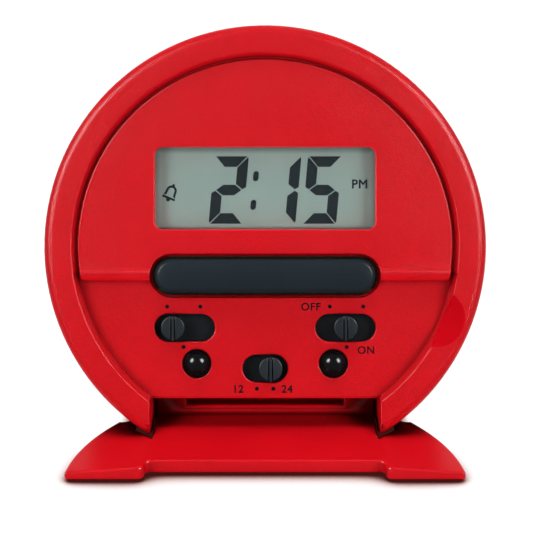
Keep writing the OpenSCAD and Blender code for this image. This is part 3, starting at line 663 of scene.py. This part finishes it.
# camera square to the face
shot = {"right": 0.246, "up": -3.68, "away": 250.0, "lens": 93.9, "sensor": 36.0, "near": 10.0}
camera = bpy.data.objects.new("camera", bpy.data.cameras.new("camera"))
scene.collection.objects.link(camera)
camera.data.lens = shot["lens"]
camera.data.sensor_width = shot["sensor"]
camera.data.clip_start = shot["near"] * mm
eye = onFace(((shot["right"], shot["up"], shot["away"]),))[0]
look = np.eye(4)
look[:3, :3] = np.stack((faceRight, faceUp, faceOut), 1)
look[:3, 3] = eye
camera.matrix_world = Matrix(look.tolist())
scene.camera = camera

# soft boxes: a wide one overhead and a low flat one to each side light the part, and two more only shine in it;
# in degrees, metres and watts
softBoxes = {
    "overhead": {"turn": 180, "rise": 83, "away": 0.72, "wide": 0.44, "tall": 0.44, "power": 5.1, "shines": False},
    "leftBox": {"turn": -42, "rise": 7, "away": 0.8, "wide": 0.36, "tall": 0.14, "power": 2.4, "shines": False},
    "rightBox": {"turn": 42, "rise": 7, "away": 0.8, "wide": 0.36, "tall": 0.14, "power": 2.4, "shines": False},
    "leftGlint": {"turn": -52, "rise": 34, "away": 0.8, "wide": 0.32, "tall": 0.4, "power": 44, "shines": True},
    "rightGlint": {"turn": 52, "rise": 34, "away": 0.8, "wide": 0.32, "tall": 0.4, "power": 44, "shines": True},
}
aim = np.array((0.0, 0.0, 0.03))
for name, box in softBoxes.items():
    lamp = bpy.data.objects.new(name, bpy.data.lights.new(name, "AREA"))
    scene.collection.objects.link(lamp)
    lamp.data.shape = "ELLIPSE"
    lamp.data.size, lamp.data.size_y = box["wide"], box["tall"]
    lamp.visible_diffuse, lamp.visible_glossy = not box["shines"], box["shines"]
    lamp.data.energy = box["power"]
    turn, rise = math.radians(box["turn"]), math.radians(box["rise"])
    out = np.array((math.sin(turn) * math.cos(rise), -math.cos(turn) * math.cos(rise), math.sin(rise)))
    across = np.array((math.cos(turn), math.sin(turn), 0.0))
    turned = np.eye(4)
    turned[:3, :3] = np.stack((across, np.cross(out, across), out), 1)
    turned[:3, 3] = aim + box["away"] * out
    lamp.matrix_world = Matrix(turned.tolist())


# one where the camera, a mirror or clear glass looks, and zero for the light on the part
def looksOf(tree):
    path = tree.nodes.new("ShaderNodeLightPath").outputs
    mirrored = mathOf(tree, "MAXIMUM", path["Is Camera Ray"], path["Is Glossy Ray"])
    return mathOf(tree, "MAXIMUM", mirrored, path["Is Transmission Ray"])


# world: white where it is looked at past the floor, a soft grey light elsewhere
studio = {"white": 1.0, "fill": 0.05}
world = bpy.data.worlds.new("studio")
scene.world = world
world.use_nodes = True
tree = world.node_tree
fill = tree.nodes["Background"]
white = tree.nodes.new("ShaderNodeBackground")
for light, strength in ((fill, studio["fill"]), (white, studio["white"])):
    light.inputs["Color"].default_value = (1, 1, 1, 1)
    light.inputs["Strength"].default_value = strength
choose = tree.nodes.new("ShaderNodeMixShader")
tree.links.new(looksOf(tree), choose.inputs["Fac"])
tree.links.new(fill.outputs["Background"], choose.inputs[1])
tree.links.new(white.outputs["Background"], choose.inputs[2])
tree.links.new(choose.outputs["Shader"], tree.nodes["World Output"].inputs["Surface"])

# floor: a broad pale sheet with a white of its own where it is looked at; both carry a painted shadow where the part
# stands close over it, but not behind the stand's wings, and the painted shadow is tinted red as painted bounce light
# from the stand: white = shade ^ red
floor = {"halfMetres": 3.0, "paint": 0.9, "dimmer": -0.78, "reach": 8.0, "shut": 0.4, "clear": 1.0, "deepest": 0.05}
wing = {"out": 24.6, "front": 21.0, "fade": 3.0, "red": (1.0, 1.65, 1.7)}
corners = np.array(((-1, -1, 0), (1, -1, 0), (1, 1, 0), (-1, 1, 0))) * floor["halfMetres"]
sheet = newPiece("floor", corners, [(0, 1, 2, 3)])
floorPaint, tree = bareMaterial("floorPaint")
place = placeOf(tree)
sideways = mathOf(tree, "SUBTRACT", mathOf(tree, "ABSOLUTE", place["X"]), wing["out"] * mm)
behind = mathOf(tree, "ADD", place["Y"], wing["front"] * mm)
pastWing = shadeOf(tree, mathOf(tree, "MINIMUM", sideways, behind), 0.0, wing["fade"] * mm, 0.0)
shade = mathOf(tree, "MAXIMUM", openness(tree, floor), pastWing)
looks = looksOf(tree)
pale = mathOf(tree, "MULTIPLY", shade, mathOf(tree, "MULTIPLY_ADD", looks, floor["dimmer"], floor["paint"]))
paint = tree.nodes.new("ShaderNodeBsdfDiffuse")
tree.links.new(pale, paint.inputs["Color"])
white = tree.nodes.new("ShaderNodeCombineColor")
for socket, power in zip(white.inputs, wing["red"]):
    tree.links.new(mathOf(tree, "POWER", shade, power), socket)
lift = tree.nodes.new("ShaderNodeEmission")
tree.links.new(white.outputs["Color"], lift.inputs["Color"])
tree.links.new(looks, lift.inputs["Strength"])
both = tree.nodes.new("ShaderNodeAddShader")
tree.links.new(paint.outputs["BSDF"], both.inputs[0])
tree.links.new(lift.outputs["Emission"], both.inputs[1])
tree.links.new(both.outputs["Shader"], tree.nodes["Material Output"].inputs["Surface"])
sheet.data.materials.append(floorPaint)
print("studio ready")
